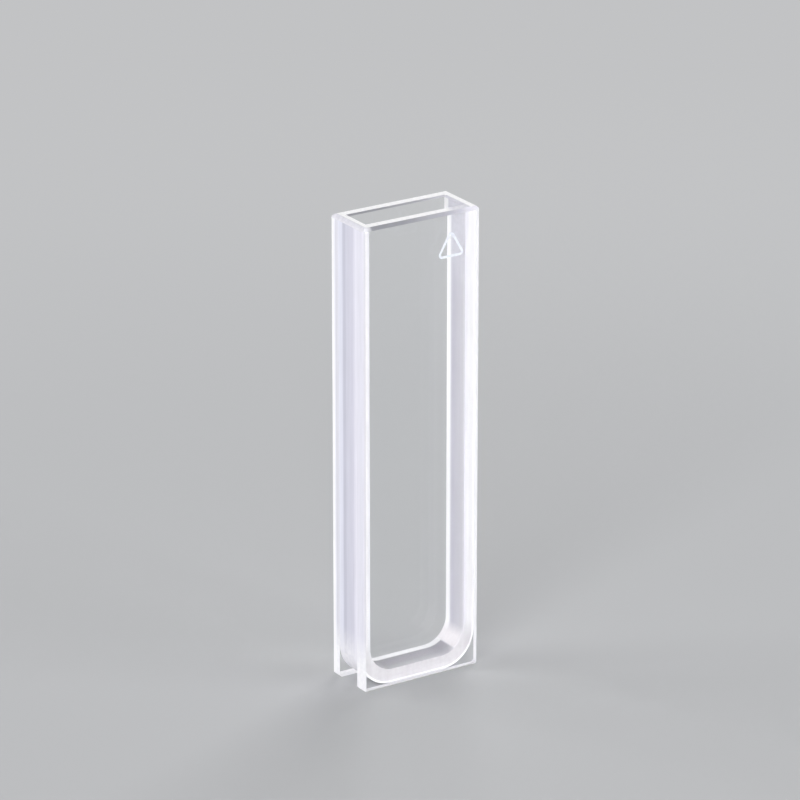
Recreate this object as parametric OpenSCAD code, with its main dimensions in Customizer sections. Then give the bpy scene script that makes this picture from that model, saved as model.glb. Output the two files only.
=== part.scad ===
// Short-path measuring cell of fused silica: two polished windows fused to a ground U-shaped frame.
// It stands upright. X runs across its width, Y along the light path and Z up.
// The origin is the centre of the base.

/* [Cell] */
// Outside width, across both side walls
cell_width = 12.5; // [12:0.5:30]
// Outside height, from the base to the open rim
cell_height = 45; // [20:1:60]
// Light path: the clear gap between the two windows
light_path = 3; // [1:0.5:20]

/* [Windows] */
// Thickness of each window plate
window_thickness = 1.25; // [0.8:0.05:2]

/* [Frame] */
// Thickness of each side wall
wall_thickness = 1.1; // [0.8:0.05:2]
// Thickness of the floor below the liquid
floor_thickness = 1.35; // [0.8:0.05:3]
// Radius of the two lower corners of the cavity
cavity_corner_radius = 2.5; // [0.5:0.1:3.5]

/* [Ground edges] */
// Chamfer round the outside of the rim, across all three pieces
rim_chamfer = 0.3; // [0.1:0.05:0.5]
// Chamfer round the inside of the rim, at the mouth of the cavity
mouth_chamfer = 0.15; // [0.05:0.05:0.25]
// Chamfer along the upright edges and round the base
edge_chamfer = 0.2; // [0.1:0.05:0.5]

/* [Hidden] */
$fn = 96;

cell_depth = light_path + 2 * window_thickness;
cavity_width = cell_width - 2 * wall_thickness;
// The frame's outer bends are a little tighter than its inner ones ask for, so it is thickest there.
outer_bend_share = 0.75;
frame_corner_radius = cavity_corner_radius + outer_bend_share * min(wall_thickness, floor_thickness);
polished_glass = [0.80, 0.88, 0.92, 0.35];
ground_glass = [0.93, 0.93, 0.97];

// A box's outline, standing on the X axis, with its lower and its upper corners cut at 45 degrees.
module chamfered_outline(width, height, lower_cut, upper_cut) {
    side = width / 2;
    polygon([
        [-side + lower_cut, 0],
        [side - lower_cut, 0],
        [side, lower_cut],
        [side, height - upper_cut],
        [side - upper_cut, height],
        [-side + upper_cut, height],
        [-side, height - upper_cut],
        [-side, lower_cut]
    ]);
}

// A straight-sided outline, standing on the X axis, with its two lower corners rounded.
module trough_outline(width, height, corner_radius) {
    translate([-width / 2, corner_radius])
        square([width, height - corner_radius]);
    translate([corner_radius - width / 2, 0])
        square([width - 2 * corner_radius, corner_radius]);
    for (side = [-1, 1]) {
        translate([side * (width / 2 - corner_radius), corner_radius])
            circle(r = corner_radius);
    }
}

// Stands an outline up in the XZ plane, as seen from the front, and gives it a depth along Y.
module stand_up(depth) {
    rotate([90, 0, 0])
        linear_extrude(height = depth, center = true)
            children();
}

// The finished outside of the fused cell. Its edges are ground after the pieces are joined,
// so every chamfer runs on from one piece to the next.
module cell_block() {
    intersection() {
        stand_up(cell_depth)
            chamfered_outline(cell_width, cell_height, edge_chamfer, rim_chamfer);
        rotate([0, 0, 90])
            stand_up(cell_width)
                chamfered_outline(cell_depth, cell_height, edge_chamfer, rim_chamfer);
        linear_extrude(height = cell_height)
            translate([0, -cell_depth / 2])
                chamfered_outline(cell_width, cell_depth, edge_chamfer, edge_chamfer);
    }
}

// An opening's outline that widens upwards at 45 degrees, up to the rim.
module flared_outline(width, flare) {
    polygon([
        [-width / 2, cell_height - flare],
        [width / 2, cell_height - flare],
        [width / 2 + flare, cell_height],
        [-width / 2 - flare, cell_height]
    ]);
}

// The wedge of glass that is ground off round the cavity's mouth.
module mouth_flare() {
    intersection() {
        stand_up(cell_depth)
            flared_outline(cavity_width, mouth_chamfer);
        rotate([0, 0, 90])
            stand_up(cell_width)
                flared_outline(light_path, mouth_chamfer);
    }
}

// One square-cornered plate, side -1 for the front and 1 for the rear.
module window_plate(side) {
    centre_y = side * (light_path + window_thickness) / 2;
    difference() {
        intersection() {
            cell_block();
            translate([-cell_width / 2, centre_y - window_thickness / 2, 0])
                cube([cell_width, window_thickness, cell_height]);
        }
        mouth_flare();
    }
}

module front_window() {
    color(polished_glass)
        window_plate(-1);
}

module rear_window() {
    color(polished_glass)
        window_plate(1);
}

// Both side walls and the floor in one piece. Its lower corners are rounded inside and out,
// which leaves an open notch between the windows' square corners.
module u_frame() {
    color(ground_glass)
        difference() {
            intersection() {
                cell_block();
                stand_up(light_path)
                    trough_outline(cell_width, cell_height, frame_corner_radius);
            }
            translate([0, 0, floor_thickness])
                stand_up(cell_depth)
                    trough_outline(cavity_width, cell_height, cavity_corner_radius);
            mouth_flare();
        }
}

front_window();
rear_window();
u_frame();
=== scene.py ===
"""Looks of a short-path measuring cell: two polished silica plates, fused to a ground U-shaped frame."""

import math

import bmesh
import bpy
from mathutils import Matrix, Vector
from mathutils.geometry import tessellate_polygon


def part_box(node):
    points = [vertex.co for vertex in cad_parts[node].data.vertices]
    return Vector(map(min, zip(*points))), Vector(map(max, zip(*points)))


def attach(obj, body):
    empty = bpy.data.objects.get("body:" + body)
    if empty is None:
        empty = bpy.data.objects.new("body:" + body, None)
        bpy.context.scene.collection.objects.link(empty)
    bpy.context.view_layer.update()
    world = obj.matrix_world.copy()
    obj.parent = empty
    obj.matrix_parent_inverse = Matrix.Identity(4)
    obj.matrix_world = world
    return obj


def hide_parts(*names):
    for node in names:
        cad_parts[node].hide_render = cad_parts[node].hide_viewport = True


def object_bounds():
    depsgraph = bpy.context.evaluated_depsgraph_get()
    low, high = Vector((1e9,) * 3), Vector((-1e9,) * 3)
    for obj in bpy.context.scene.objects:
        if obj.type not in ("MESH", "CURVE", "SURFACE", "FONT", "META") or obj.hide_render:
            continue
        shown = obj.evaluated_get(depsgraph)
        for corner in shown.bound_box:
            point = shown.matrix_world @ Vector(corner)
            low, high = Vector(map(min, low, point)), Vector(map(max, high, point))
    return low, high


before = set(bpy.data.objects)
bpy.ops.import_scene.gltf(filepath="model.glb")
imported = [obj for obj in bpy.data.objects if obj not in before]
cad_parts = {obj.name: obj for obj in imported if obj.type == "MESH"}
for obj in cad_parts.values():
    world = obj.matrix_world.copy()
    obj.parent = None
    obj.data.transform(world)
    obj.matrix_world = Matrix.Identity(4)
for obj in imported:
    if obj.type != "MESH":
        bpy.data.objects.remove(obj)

cad_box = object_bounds()

MM = 0.001

# The cell, from the frame.
BLOCK_HIGH = cad_box[1]
CELL_HEIGHT = BLOCK_HIGH.z
HALF_WIDTH = BLOCK_HIGH.x
HALF_DEPTH = BLOCK_HIGH.y
FRAME_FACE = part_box("u_frame")[1].y  # how far the frame reaches in front of and behind the centre
MIDDLE = Vector((0, 0, CELL_HEIGHT / 2))

# Sizes that the frame's boxes don't give, as the part is built.
WALL = 1.1 * MM
FLOOR = 1.35 * MM
CAVITY_RADIUS = 2.5 * MM
FRAME_RADIUS = CAVITY_RADIUS + 0.75 * WALL
RIM_CHAMFER = 0.3 * MM
MOUTH_CHAMFER = 0.15 * MM
JOINT_EDGE = 0.22 * MM  # the width of the bright line where a joint ends at the frame's outer edge: the fused joint's edge there, painted pale as a highlight

# Touching faces of two pieces are kept this far apart, too little to see, so that a ray meets one at a time.
SEAM = 0.005 * MM
ARC_STEPS = 32  # edges in each round corner of the frame
SHARP = math.radians(20)  # the angle from which an edge of the frame is shaded as a sharp one

# How the plates' solids are cleaned before they are dressed.
WELD_DISTANCE = 0.0001 * MM
FLAT_ANGLE = math.radians(0.5)

# The material slots of a plate. Only the front one has a mark.
POLISHED, SIDE, RIM, BASE, HONED, MARK = range(6)
# How the plates' faces are told apart, by how much of a face's unit normal points one way.
SQUARE_ON = 0.99  # at least this much along the light path: polished
INCLINED = 0.5  # at least this much up: the rim, or honed if along the light path too. Down: the base.

# The etched mark near the top of the front plate, which shows which way round the cell goes.
MARK_CENTRE = (3.1 * MM, 41.6 * MM)  # X and Z
MARK_RADIUS = 1.1 * MM  # from there to the centre of each round corner
MARK_STROKE = 0.24 * MM
MARK_CORNER_STEPS = 6

# Colours of ground silica along the light path, from front to rear, each with its place in mm.
# On the plates' sides: painted shade, darker at the front edge and in a band at 1.9 mm, and a painted
# highlight along the rear plate's outer edge.
SIDE_TONES = [
    (-2.75, (0.68, 0.67, 0.71)),
    (-2.55, (0.74, 0.73, 0.81)),
    (-1.5, (0.75, 0.74, 0.82)),
    (1.5, (0.72, 0.715, 0.785)),
    (1.9, (0.66, 0.655, 0.72)),
    (2.1, (0.85, 0.85, 0.91)),
    (2.3, (0.925, 0.92, 0.93)),
    (2.75, (0.925, 0.92, 0.93)),
]
BASE_TONES = [
    (-2.75, (0.99, 0.985, 0.995)),
    (2.75, (0.99, 0.985, 0.995)),
]
# On the frame's outside: painted shade, darker in the middle between the plates, and painted light, paler
# next to both plates.
OUTSIDE_TONES = [
    (-1.5, (0.78, 0.77, 0.855)),
    (-1.15, (0.72, 0.71, 0.795)),
    (-0.95, (0.635, 0.625, 0.715)),
    (0.15, (0.61, 0.61, 0.695)),
    (0.35, (0.54, 0.54, 0.625)),
    (0.65, (0.55, 0.55, 0.635)),
    (0.85, (0.71, 0.715, 0.81)),
    (1.5, (0.75, 0.755, 0.84)),
]
# On the legs' inner faces: painted shade, darker in the middle of the cavity, paler next to the front plate,
# and a painted highlight along the rear plate.
INSIDE_TONES = [
    (-1.5, (0.68, 0.67, 0.71)),
    (-1.15, (0.555, 0.545, 0.58)),
    (-0.5, (0.52, 0.51, 0.555)),
    (0.5, (0.475, 0.465, 0.525)),
    (0.75, (0.555, 0.545, 0.59)),
    (0.95, (0.865, 0.86, 0.87)),
    (1.5, (0.875, 0.87, 0.875)),
]
# On the legs' inner faces close below the rim: painted light, paler than further down, with the same painted
# highlight along the rear plate.
INSIDE_HEAD_TONES = [
    (-1.5, (0.68, 0.67, 0.71)),
    (-1.15, (0.625, 0.615, 0.67)),
    (0.75, (0.605, 0.60, 0.655)),
    (0.95, (0.865, 0.86, 0.87)),
    (1.5, (0.875, 0.87, 0.875)),
]
# On the cavity's floor: painted shade, darker towards the rear.
CAVITY_FLOOR_TONES = [
    (-1.5, (0.575, 0.565, 0.60)),
    (-1.15, (0.485, 0.475, 0.505)),
    (-0.6, (0.38, 0.37, 0.405)),
    (0.0, (0.345, 0.33, 0.37)),
    (0.7, (0.31, 0.305, 0.33)),
    (1.5, (0.31, 0.305, 0.33)),
]
# Along the joints' outer edges: the fused joint's edge, painted pale as a highlight.
JOINT_EDGE_TONES = [
    (-1.5, (0.965, 0.955, 0.965)),
    (1.5, (0.965, 0.955, 0.965)),
]
MARK_TONES = [
    (-2.75, (0.88, 0.92, 0.99)),
    (2.75, (0.88, 0.92, 0.99)),
]

# Colours of ground and honed silica from the cell's left side to its right one, each with its place in mm.
# On the rim: a painted highlight along the right part of each leg's top, painted shade darker beside it, and
# darker on the right of the front plate.
RIM_TONES = [
    (-6.25, (0.83, 0.82, 0.875)),
    (-6.0, (0.745, 0.735, 0.80)),
    (-5.85, (0.745, 0.735, 0.80)),
    (-5.7, (0.99, 0.985, 0.99)),
    (3.0, (0.98, 0.975, 0.985)),
    (3.7, (0.74, 0.73, 0.79)),
    (5.32, (0.66, 0.65, 0.72)),
    (5.46, (0.99, 0.985, 0.99)),
    (6.25, (0.99, 0.985, 0.99)),
]
# On the honed chamfers: painted shade, dark from the left leg to the middle, paler at the left leg and
# towards the right.
HONED_TONES = [
    (-6.25, (0.84, 0.835, 0.88)),
    (-5.45, (0.84, 0.835, 0.88)),
    (-5.25, (0.33, 0.33, 0.37)),
    (-1.9, (0.33, 0.33, 0.37)),
    (0.1, (0.44, 0.435, 0.48)),
    (2.4, (0.45, 0.445, 0.49)),
    (3.6, (0.61, 0.605, 0.66)),
    (5.35, (0.77, 0.76, 0.83)),
    (6.25, (0.80, 0.79, 0.86)),
]
# On the joints' legs: painted light and shade, paler towards each leg's outer edge, darker towards the cavity
# and on the right leg.
JOINT_TONES = [
    (-6.25, (0.945, 0.935, 0.945)),
    (-5.5, (0.945, 0.935, 0.945)),
    (-5.15, (0.79, 0.785, 0.82)),
    (5.15, (0.755, 0.74, 0.805)),
    (5.55, (0.88, 0.87, 0.89)),
    (5.9, (0.91, 0.90, 0.905)),
    (6.25, (0.91, 0.90, 0.905)),
]

# Painted shade on the cavity's floor from left to right, as shares of its colours: darker on the left.
CAVITY_FLOOR_SHADE = [
    (-6.25, (0.50, 0.50, 0.50)),
    (-3.6, (0.52, 0.52, 0.52)),
    (-2.6, (0.66, 0.66, 0.66)),
    (-0.4, (0.77, 0.77, 0.77)),
    (0.5, (0.77, 0.77, 0.77)),
    (4.0, (1.0, 1.0, 1.0)),
    (6.25, (1.0, 1.0, 1.0)),
]

# Colours that part of a surface turns into.
REAR_RIM_COLOUR = (0.98, 0.975, 0.985, 1.0)  # of the rear plate's rim on the right
LIT_RIGHT_SIDE_COLOUR = (0.92, 0.915, 0.93, 1.0)  # painted light: the plates' right sides, paler than the left ones
LIT_BEND_COLOUR = (0.75, 0.72, 0.74, 1.0)  # painted light: the cavity's round bends, paler than its walls and floor
SHADED_JOINT_COLOUR = (0.78, 0.77, 0.785, 1.0)  # painted shade: the joints along the floor, darker than on the legs
REAR_GLOW_COLOUR = (0.82, 0.815, 0.825, 1.0)  # painted highlight: the pale line on the cavity's floor along the rear plate

# The colours close above the base, with the heights between which they come in: painted light, paler, on the
# plates' sides and the frame's outside, and painted shade, darker, on the joints.
SIDE_FOOT = ((0.91, 0.905, 0.925, 1.0), 2.5 * MM, 5.5 * MM)  # on the plates' sides
FRAME_FOOT = ((0.845, 0.835, 0.87, 1.0), 2.5 * MM, 5.5 * MM)  # on the frame's outside
JOINT_FOOT = ((0.68, 0.655, 0.68, 1.0), 2.2 * MM, 4.2 * MM)  # on the joints

# Where surfaces turn from one colour to another: the start and the end of each change.
RIGHT_RIM = (0.0, 1.0 * MM)  # along X, on the rim
REAR_RIM = (1.4 * MM, 1.55 * MM)  # along Y, on the rim
JOINT_FLOOR = (2.5 * MM, 4.5 * MM)  # along Z, from the painted shade on the joint's floor to its legs
CAVITY_HEAD = (37.0 * MM, 41.0 * MM)  # along Z, where painted light makes the legs' inner faces paler below the rim
REAR_LINE = (0.7 * MM, 0.85 * MM)  # along Y, on the cavity's floor, where that painted highlight begins
# The same inside the cavity, by how far a face looks up: 0 is a wall and 1 the floor.
BEND_BEGINS = (0.12, 0.5)
BEND_ENDS = (0.79, 0.83)
FLOOR_BEGINS = (0.80, 0.84)

# The patches that grinding by hand leaves.
PATCH_PITCH = 0.45 * MM
PATCH_EDGE = (0.4, 0.6)  # of the noise, from the gaps to the patches
PATCH_GAP = 0.72  # how much of the colour is left between them

# The marks of grinding: how wide they are, how much longer than wide, and how dark the darkest is.
STREAKS = (0.35 * MM, 14.0, 0.94)
RIM_STREAKS = (0.3 * MM, 1.0, 0.88)
MARK_STREAKS = (0.12 * MM, 1.0, 0.75)

# Finish. Noise runs about from the low to the high end of NOISE_RANGE.
SILICA_IOR = 1.458
NOISE_RANGE = (0.3, 0.7)
GRAIN_PITCH = 0.07 * MM
PIT_DEPTH = 0.02 * MM
GROUND_ROUGHNESS = (0.5, 0.68)
GROUND_PITS = 0.25  # the bump's strength
HONED_ROUGHNESS = (0.3, 0.42)
HONED_PITS = 0.2
HONED_CLEARNESS = 0.6  # the share of light that passes as through glass
POLISHED_COLOUR = (0.994, 0.998, 1.0, 1.0)
HAZE_PITCH, HAZE_STRETCH = 2.5 * MM, 3.0
HAZE_RANGE = (0.5, 0.8)  # of the noise
HAZE_ROUGHNESS = 0.02

# Studio.
FLOOR_RADIUS = 3.0
FLOOR_CORNERS = 128
FLOOR_DROP = 0.01 * MM  # the gap below the base, for the same reason as the seams
FLOOR_COLOUR = (0.50, 0.505, 0.515, 1.0)
BACKDROP_COLOUR = (0.54, 0.545, 0.555, 1.0)
BACKDROP_RANGE = (0.06, 0.20)  # how far out the floor turns into the backdrop, in metres
SKY_COLOUR = (0.98, 0.99, 1.0, 1.0)
SKY_LEVEL = 0.33
SOFTBOX_DISTANCE = 0.5
SOFTBOX_WIDTH, SOFTBOX_HEIGHT = 0.32, 0.28
# Each softbox: its name, azimuth and elevation, and how bright it alone makes white paper that faces it.
SOFTBOXES = (
    ("key", -48, 14, 0.78),
    ("fill", 35, 14, 0.54),
    ("rear_left", -135, 20, 0.42),
    ("rear_right", 130, 20, 0.66),
)

# Camera, where the outline of the cell fits an 800 by 800 picture of it.
CAMERA_AZIMUTH, CAMERA_ELEVATION = math.radians(-32.822), math.radians(20.697)
CAMERA_DISTANCE = 446.85 * MM
CAMERA_RIGHT, CAMERA_UP = -0.498 * MM, 3.916 * MM  # how far it is moved sideways and up
CAMERA_LENS, CAMERA_SENSOR = 219.71, 36.0
CAMERA_CLIP = (0.01, 20.0)


# ---------------------------------------------------------------- node helpers

def new_material(name):
    """A material with one Principled shader, its nodes, and that shader."""
    material = bpy.data.materials.new(name)
    material.use_nodes = True
    tree = material.node_tree
    return material, tree, tree.nodes["Principled BSDF"]


def object_place(tree):
    """The point on the surface, in metres: as one vector, and as X, Y and Z."""
    where = tree.nodes.new("ShaderNodeTexCoord").outputs["Object"]
    split = tree.nodes.new("ShaderNodeSeparateXYZ")
    tree.links.new(where, split.inputs[0])
    return {"vector": where, "X": split.outputs["X"], "Y": split.outputs["Y"], "Z": split.outputs["Z"]}


def remap(tree, value, low, high, to_low=0.0, to_high=1.0):
    """value, moved from one range to another and kept inside it."""
    node = tree.nodes.new("ShaderNodeMapRange")
    tree.links.new(value, node.inputs["Value"])
    for name, number in (("From Min", low), ("From Max", high), ("To Min", to_low), ("To Max", to_high)):
        node.inputs[name].default_value = number
    return node.outputs[0]


def tone_ramp(tree, place, low, high, tones):
    """A colour that follows place, a length in metres between low and high."""
    ramp = tree.nodes.new("ShaderNodeValToRGB")
    tree.links.new(remap(tree, place, low, high), ramp.inputs[0])
    elements = ramp.color_ramp.elements
    while len(elements) < len(tones):
        elements.new(0.5)
    for element, (mm, colour) in zip(elements, tones):
        element.position = (mm * MM - low) / (high - low)
        element.color = (*colour, 1.0)
    return ramp.outputs[0]


def blend(tree, share, tone, colour):
    """tone, which turns into colour, a socket or a constant, by share."""
    mixed = tree.nodes.new("ShaderNodeMix")
    mixed.data_type = "RGBA"
    tree.links.new(share, mixed.inputs["Factor"])
    tree.links.new(tone, mixed.inputs["A"])
    if isinstance(colour, tuple):
        mixed.inputs["B"].default_value = colour
    else:
        tree.links.new(colour, mixed.inputs["B"])
    return mixed.outputs["Result"]


def scaled(tree, tone, factor):
    """tone, paler or darker by factor."""
    node = tree.nodes.new("ShaderNodeVectorMath")
    node.operation = "SCALE"
    tree.links.new(tone, node.inputs[0])
    tree.links.new(factor, node.inputs["Scale"])
    return node.outputs[0]


def maths(tree, operation, *values):
    """One step of arithmetic on sockets."""
    node = tree.nodes.new("ShaderNodeMath")
    node.operation = operation
    for value, socket in zip(values, node.inputs):
        tree.links.new(value, socket)
    return node.outputs[0]


def noise(tree, place, pitch, stretch=1.0, detail=3.0):
    """Noise whose features are about pitch metres across, and stretch times as tall."""
    mapping = tree.nodes.new("ShaderNodeMapping")
    mapping.inputs["Scale"].default_value = (1.0 / pitch, 1.0 / pitch, 1.0 / (pitch * stretch))
    tree.links.new(place["vector"], mapping.inputs["Vector"])
    field = tree.nodes.new("ShaderNodeTexNoise")
    field.inputs["Scale"].default_value = 1.0
    field.inputs["Detail"].default_value = detail
    tree.links.new(mapping.outputs[0], field.inputs["Vector"])
    return field.outputs["Fac"]


def mix_shaders(tree, share, first, second, output):
    """Gives an output node two shaders at once. share, a socket or a number, is how much is the second."""
    both = tree.nodes.new("ShaderNodeMixShader")
    if isinstance(share, float):
        both.inputs[0].default_value = share
    else:
        tree.links.new(share, both.inputs[0])
    tree.links.new(first.outputs[0], both.inputs[1])
    tree.links.new(second.outputs[0], both.inputs[2])
    tree.links.new(both.outputs[0], tree.nodes[output].inputs["Surface"])


# ---------------------------------------------------------------- colours

def along_light(tree, place, tones):
    """The colour of a ground face that follows how deep along the light path it lies."""
    return tone_ramp(tree, place["Y"], -HALF_DEPTH, HALF_DEPTH, tones)


def across_cell(tree, place, tones):
    """The colour of a ground face that follows how far across the cell it lies."""
    return tone_ramp(tree, place["X"], -HALF_WIDTH, HALF_WIDTH, tones)


def on_side(tree, place, tones):
    """The colour of a plate's ground side: by tones on the left, and one paler colour on the right, which is
    painted light.
    """
    right = remap(tree, place["X"], -HALF_WIDTH, HALF_WIDTH)
    return blend(tree, right, along_light(tree, place, tones), LIT_RIGHT_SIDE_COLOUR)


def on_rim(tree, place, tones):
    """The colour of the rim: by tones, but the same all along the right part of the rear plate."""
    right = remap(tree, place["X"], *RIGHT_RIM)
    rear = remap(tree, place["Y"], *REAR_RIM)
    return blend(tree, maths(tree, "MULTIPLY", right, rear), across_cell(tree, place, tones), REAR_RIM_COLOUR)


def on_joint(tree, place, tones):
    """The colour of a joint: by tones across the legs, and one darker colour along the floor, which is
    painted shade.
    """
    low = remap(tree, place["Z"], *JOINT_FLOOR, 1.0, 0.0)
    return blend(tree, low, across_cell(tree, place, tones), SHADED_JOINT_COLOUR)


def in_patches(tree, place, share):
    """share, but less of it between the patches that grinding by hand leaves."""
    field = noise(tree, place, PATCH_PITCH, detail=2.0)
    return maths(tree, "MULTIPLY", share, remap(tree, field, *PATCH_EDGE, PATCH_GAP, 1.0))


def cavity_walls(tree, place, tones):
    """The colour of the legs' inner faces: by tones, with painted shade and light, and by paler ones near the
    rim, which are painted light.
    """
    head = in_patches(tree, place, remap(tree, place["Z"], *CAVITY_HEAD))
    return blend(tree, head, along_light(tree, place, tones), along_light(tree, place, INSIDE_HEAD_TONES))


def cavity_floor(tree, place):
    """The colour of the cavity's floor, with painted shade, and the painted highlight of the pale line along
    the rear plate.
    """
    shade = across_cell(tree, place, CAVITY_FLOOR_SHADE)
    floor = scaled(tree, along_light(tree, place, CAVITY_FLOOR_TONES), shade)
    return blend(tree, remap(tree, place["Y"], *REAR_LINE), floor, REAR_GLOW_COLOUR)


def in_cavity(tree, place, tones):
    """The colour inside the U: of its walls by tones, of its floor, and of the round bends between them,
    painted paler as light.
    """
    split = tree.nodes.new("ShaderNodeSeparateXYZ")
    tree.links.new(tree.nodes.new("ShaderNodeTexCoord").outputs["Normal"], split.inputs[0])
    up = split.outputs["Z"]
    level = remap(tree, up, *FLOOR_BEGINS)
    surface = blend(tree, level, cavity_walls(tree, place, tones), cavity_floor(tree, place))
    begins = remap(tree, up, *BEND_BEGINS)
    ends = remap(tree, up, *BEND_ENDS, 1.0, 0.0)
    return blend(tree, maths(tree, "MULTIPLY", begins, ends), surface, LIT_BEND_COLOUR)


# ---------------------------------------------------------------- materials

def pitted(tree, place, shader, roughness, strength):
    """Gives shader the roughness and the fine pits of a ground surface. Returns the normal they have."""
    grain = noise(tree, place, GRAIN_PITCH)
    tree.links.new(remap(tree, grain, *NOISE_RANGE, *roughness), shader.inputs["Roughness"])
    bump = tree.nodes.new("ShaderNodeBump")
    bump.inputs["Strength"].default_value = strength
    bump.inputs["Distance"].default_value = PIT_DEPTH
    tree.links.new(grain, bump.inputs["Height"])
    tree.links.new(bump.outputs[0], shader.inputs["Normal"])
    return bump.outputs[0]


def polished_silica():
    """Clear, colourless glass, with the faint haze that wiping leaves."""
    material, tree, shader = new_material("polished_silica_clear")
    shader.inputs["Base Color"].default_value = POLISHED_COLOUR
    shader.inputs["IOR"].default_value = SILICA_IOR
    shader.inputs["Transmission Weight"].default_value = 1.0
    haze = noise(tree, object_place(tree), HAZE_PITCH, HAZE_STRETCH, detail=2.0)
    tree.links.new(remap(tree, haze, *HAZE_RANGE, 0.0, HAZE_ROUGHNESS), shader.inputs["Roughness"])
    return material


def honed_silica():
    """A chamfer that is ground finer than the other faces, and so stays half clear. Its colours carry painted
    shade.
    """
    material, tree, shader = new_material("honed_silica")
    shader.inputs["IOR"].default_value = SILICA_IOR
    shader.inputs["Transmission Weight"].default_value = HONED_CLEARNESS
    place = object_place(tree)
    tree.links.new(across_cell(tree, place, HONED_TONES), shader.inputs["Base Color"])
    pitted(tree, place, shader, HONED_ROUGHNESS, HONED_PITS)
    return material


def ground_silica(name, ramp, tones, through, inner=None, foot=None, gloss=0.5, streaks=STREAKS):
    """Fine ground silica, which scatters light back and lets the share through pass, scattered as well.

    ramp makes its colour of tones. inner is the share that passes where the face is seen from inside the
    silica, if it is another one there. foot is the colour close above the base, with the heights between
    which it comes in. gloss is the shader's specular level. streaks is how wide the marks of grinding are,
    how much longer than wide, and how dark the darkest is."""
    material, tree, shader = new_material(name)
    place = object_place(tree)
    tone = ramp(tree, place, tones)
    if foot:
        foot_colour, full, top = foot
        share = remap(tree, place["Z"], full, top, 1.0, 0.0)
        tone = blend(tree, in_patches(tree, place, share), tone, foot_colour)
    width, stretch, darkest = streaks
    marks = noise(tree, place, width, stretch)
    colour = scaled(tree, tone, remap(tree, marks, *NOISE_RANGE, darkest, 1.0))
    tree.links.new(colour, shader.inputs["Base Color"])
    shader.inputs["IOR"].default_value = SILICA_IOR
    shader.inputs["Specular IOR Level"].default_value = gloss
    normal = pitted(tree, place, shader, GROUND_ROUGHNESS, GROUND_PITS)
    scatter = tree.nodes.new("ShaderNodeBsdfTranslucent")
    tree.links.new(colour, scatter.inputs["Color"])
    tree.links.new(normal, scatter.inputs["Normal"])
    if inner:
        from_inside = tree.nodes.new("ShaderNodeNewGeometry").outputs["Backfacing"]
        through = remap(tree, from_inside, 0.0, 1.0, through, inner)
    mix_shaders(tree, through, shader, scatter, "Material Output")
    return material


# ---------------------------------------------------------------- meshes

def new_piece(name, bm, materials, node):
    """An object of that mesh, which stands for a node of the frame."""
    mesh = bpy.data.meshes.new(name)
    bm.normal_update()
    bm.to_mesh(mesh)
    bm.free()
    piece = bpy.data.objects.new(name, mesh)
    bpy.context.scene.collection.objects.link(piece)
    for material in materials:
        mesh.materials.append(material)
    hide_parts(node)
    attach(piece, "root")
    return piece


def plate_finish(normal):
    """The material slot of a plate's face, by the way it faces."""
    if abs(normal.y) > SQUARE_ON:
        return POLISHED
    if normal.z > INCLINED:
        return HONED if abs(normal.y) > INCLINED else RIM
    return BASE if normal.z < -INCLINED else SIDE


def clean_solid(node):
    """A node's mesh with one face for each flat face of the part."""
    bm = bmesh.new()
    bm.from_mesh(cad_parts[node].data)
    bmesh.ops.remove_doubles(bm, verts=bm.verts, dist=WELD_DISTANCE)
    bmesh.ops.dissolve_limit(bm, angle_limit=FLAT_ANGLE, verts=bm.verts, edges=bm.edges)
    return bm


def mark_outline(offset):
    """A triangle, point up, with round corners, that lies offset outside the inner edge of the stroke."""
    corner_radius = MARK_STROKE / 2 + offset
    points = []
    for corner in range(3):
        middle = math.radians(90 + 120 * corner)
        centre_x = MARK_CENTRE[0] + MARK_RADIUS * math.cos(middle)
        centre_z = MARK_CENTRE[1] + MARK_RADIUS * math.sin(middle)
        for step in range(MARK_CORNER_STEPS + 1):
            angle = middle + math.radians(120 * step / MARK_CORNER_STEPS - 60)
            x = centre_x + corner_radius * math.cos(angle)
            z = centre_z + corner_radius * math.sin(angle)
            points.append((x, z))
    return points


def etch_mark(bm):
    """Cuts the mark's outline into the plate's front face, and gives it its material slot."""
    front = min(bm.faces, key=lambda face: face.calc_center_median().y)
    border = list(front.verts)
    y = border[0].co.y
    outer = [bm.verts.new((x, y, z)) for x, z in mark_outline(MARK_STROKE)]
    inner = [bm.verts.new((x, y, z)) for x, z in mark_outline(0.0)]
    bm.faces.remove(front)
    around = border + outer
    for corners in tessellate_polygon([[v.co for v in border], [v.co for v in outer]]):
        bm.faces.new([around[k] for k in corners]).material_index = POLISHED
    for k in range(len(outer)):
        bm.faces.new((outer[k - 1], outer[k], inner[k], inner[k - 1])).material_index = MARK
    bm.faces.new(inner).material_index = POLISHED
    bmesh.ops.recalc_face_normals(bm, faces=bm.faces)


def window_plate(name, node, materials, marked=False):
    """One plate, its two large faces polished and its narrow faces and chamfers ground."""
    bm = clean_solid(node)
    for face in bm.faces:
        face.smooth = False
        face.material_index = plate_finish(face.normal)
    if marked:
        etch_mark(bm)
    return new_piece(name, bm, materials, node)


def frame_side(side):
    """Both edges of the U, from a leg's rim to the middle of the floor: (inner, outer) pairs of X and Z."""
    inner_x, outer_x = HALF_WIDTH - WALL, HALF_WIDTH
    bends = [(inner_x, FLOOR, CAVITY_RADIUS), (outer_x, 0.0, FRAME_RADIUS)]
    pairs = [
        ((inner_x + MOUTH_CHAMFER, CELL_HEIGHT), (outer_x - RIM_CHAMFER, CELL_HEIGHT)),
        ((inner_x, CELL_HEIGHT - MOUTH_CHAMFER), (outer_x, CELL_HEIGHT - RIM_CHAMFER)),
    ]
    for step in range(ARC_STEPS + 1):
        angle = step / ARC_STEPS * math.pi / 2
        across, up = 1 - math.cos(angle), 1 - math.sin(angle)
        pairs.append(tuple((x - radius * across, z + radius * up) for x, z, radius in bends))
    return [tuple((side * x, z) for x, z in pair) for pair in pairs]


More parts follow.
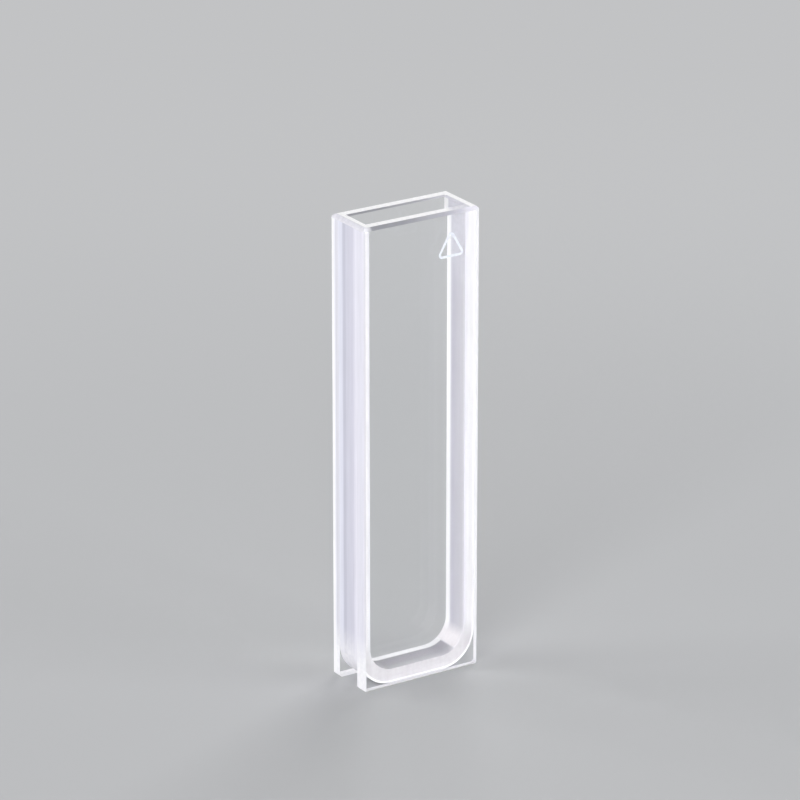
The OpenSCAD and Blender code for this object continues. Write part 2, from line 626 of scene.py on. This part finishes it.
def towards(start, end, distance):
    """The point that far from start, in the direction of end."""
    length = math.dist(start, end)
    return tuple(a + (b - a) * distance / length for a, b in zip(start, end))


def ground_frame(name, node, materials):
    """Both legs and the floor, as one band of quads round the U.

    materials: for the joints, their outer edges, the inside, the outside and the rim."""
    joint, edge_line, inside, outside, rim = range(5)
    bands = (joint, inside, joint, edge_line, outside, edge_line)
    face_y = FRAME_FACE - SEAM
    bm = bmesh.new()
    rings = []
    for inner, outer in frame_side(-1) + frame_side(1)[::-1]:
        line = towards(outer, inner, JOINT_EDGE)
        section = ((inner, -1), (inner, 1), (line, 1), (outer, 1), (outer, -1), (line, -1))
        rings.append([bm.verts.new((x, end * face_y, z)) for (x, z), end in section])
    steps = len(rings) - 1
    for step, (ring, following) in enumerate(zip(rings, rings[1:])):
        for k, band in enumerate(bands):
            face = bm.faces.new((ring[k], ring[k - 1], following[k - 1], following[k]))
            face.material_index = band
            if step in (0, steps - 1) and band in (inside, outside):
                face.material_index = rim
    for end in (rings[0], rings[-1]):
        bm.faces.new(end).material_index = rim
    bmesh.ops.recalc_face_normals(bm, faces=bm.faces)
    for face in bm.faces:
        face.smooth = True
    for edge in bm.edges:
        edge.smooth = edge.calc_face_angle(math.pi) < SHARP
    return new_piece(name, bm, materials, node)


# ---------------------------------------------------------------- studio

def studio_floor():
    """A wide pale floor, just under the cell's base, which turns into the backdrop's colour further out."""
    material, tree, shader = new_material("studio_floor")
    shader.inputs["Base Color"].default_value = FLOOR_COLOUR
    shader.inputs["Roughness"].default_value = 1.0
    shader.inputs["Specular IOR Level"].default_value = 0.0
    distance = tree.nodes.new("ShaderNodeVectorMath")
    distance.operation = "LENGTH"
    tree.links.new(object_place(tree)["vector"], distance.inputs[0])
    share = remap(tree, distance.outputs["Value"], *BACKDROP_RANGE)
    share.node.interpolation_type = "SMOOTHSTEP"
    backdrop = tree.nodes.new("ShaderNodeEmission")
    backdrop.inputs["Color"].default_value = BACKDROP_COLOUR
    mix_shaders(tree, share, shader, backdrop, "Material Output")
    bpy.ops.mesh.primitive_circle_add(
        vertices=FLOOR_CORNERS,
        radius=FLOOR_RADIUS,
        fill_type="NGON",
        location=(0, 0, -FLOOR_DROP),
    )
    floor = bpy.context.object
    floor.name = "studio_floor"
    floor.data.materials.append(material)


def direction(azimuth, elevation):
    """The unit vector from the cell to something there. Azimuth 0 is in front of it, and 90 degrees right."""
    level = math.cos(elevation)
    return Vector((math.sin(azimuth) * level, -math.cos(azimuth) * level, math.sin(elevation)))


def softbox(name, azimuth, elevation, level):
    """A lamp aimed at the cell's middle. level is how bright it alone makes white paper that faces it."""
    out = direction(math.radians(azimuth), math.radians(elevation))
    data = bpy.data.lights.new(name, "AREA")
    data.shape = "RECTANGLE"
    data.size, data.size_y = SOFTBOX_WIDTH, SOFTBOX_HEIGHT
    data.energy = level * math.pi ** 2 * SOFTBOX_DISTANCE ** 2
    lamp = bpy.data.objects.new(name, data)
    lamp.location = MIDDLE + out * SOFTBOX_DISTANCE
    lamp.rotation_mode = "QUATERNION"
    lamp.rotation_quaternion = out.to_track_quat("Z", "Y")
    lamp.visible_camera = False
    bpy.context.scene.collection.objects.link(lamp)


def studio_sky():
    """An even sky. The camera, reflections and glass see it in the backdrop's colour."""
    world = bpy.data.worlds.new("studio")
    bpy.context.scene.world = world
    world.use_nodes = True
    tree = world.node_tree
    sky = tree.nodes["Background"]
    sky.inputs["Color"].default_value = SKY_COLOUR
    sky.inputs["Strength"].default_value = SKY_LEVEL
    backdrop = tree.nodes.new("ShaderNodeBackground")
    backdrop.inputs["Color"].default_value = BACKDROP_COLOUR
    rays = tree.nodes.new("ShaderNodeLightPath").outputs
    seen = maths(tree, "MAXIMUM", rays["Is Camera Ray"], rays["Is Glossy Ray"])
    seen = maths(tree, "MAXIMUM", seen, rays["Is Transmission Ray"])
    mix_shaders(tree, seen, sky, backdrop, "World Output")


def studio_light():
    """Soft light from all round: an even sky, and a softbox at each corner."""
    studio_sky()
    for name, azimuth, elevation, level in SOFTBOXES:
        softbox(name, azimuth, elevation, level)


def photo_camera():
    """The camera, which stands where the photographer's did."""
    back = direction(CAMERA_AZIMUTH, CAMERA_ELEVATION)
    right = Vector((0, 0, 1)).cross(back).normalized()
    up = back.cross(right)
    data = bpy.data.cameras.new("photo_camera")
    data.lens, data.sensor_width = CAMERA_LENS, CAMERA_SENSOR
    data.clip_start, data.clip_end = CAMERA_CLIP
    camera = bpy.data.objects.new("photo_camera", data)
    camera.location = MIDDLE + back * CAMERA_DISTANCE + right * CAMERA_RIGHT + up * CAMERA_UP
    camera.rotation_mode = "QUATERNION"
    camera.rotation_quaternion = (-back).to_track_quat("-Z", "Y")
    bpy.context.scene.collection.objects.link(camera)
    bpy.context.scene.camera = camera


def light_paths():
    """Lets light bounce as often as it does in glass that absorbs nothing, and pass through it unblurred."""
    cycles = bpy.context.scene.cycles
    cycles.diffuse_bounces = 16
    cycles.glossy_bounces = 16
    cycles.transmission_bounces = 24
    cycles.max_bounces = 32
    cycles.blur_glossy = 0.0


# ---------------------------------------------------------------- the scene

clear = polished_silica()
honed = honed_silica()
side = ground_silica("ground_side", on_side, SIDE_TONES, 0.15, inner=0.62, foot=SIDE_FOOT)
rim = ground_silica("ground_rim", on_rim, RIM_TONES, 0.08, streaks=RIM_STREAKS)
base = ground_silica("ground_base", along_light, BASE_TONES, 0.01, gloss=0.0)
etched = ground_silica("etched_mark", along_light, MARK_TONES, 0.25, streaks=MARK_STREAKS)
joint = ground_silica("ground_joint", on_joint, JOINT_TONES, 0.06, inner=0.5, foot=JOINT_FOOT)
joint_edge = ground_silica("ground_joint_edge", along_light, JOINT_EDGE_TONES, 0.1, inner=0.5)
inside = ground_silica("ground_inside", in_cavity, INSIDE_TONES, 0.06, inner=0.5)
outside = ground_silica("ground_outside", along_light, OUTSIDE_TONES, 0.1, inner=0.5, foot=FRAME_FOOT)

window_plate("front_plate", "front_window", (clear, side, rim, base, honed, etched), marked=True)
window_plate("rear_plate", "rear_window", (clear, side, rim, base, honed))
ground_frame("ground_frame", "u_frame", (joint, joint_edge, inside, outside, rim))

studio_floor()
studio_light()
photo_camera()
light_paths()
bpy.context.scene.view_settings.view_transform = "Standard"
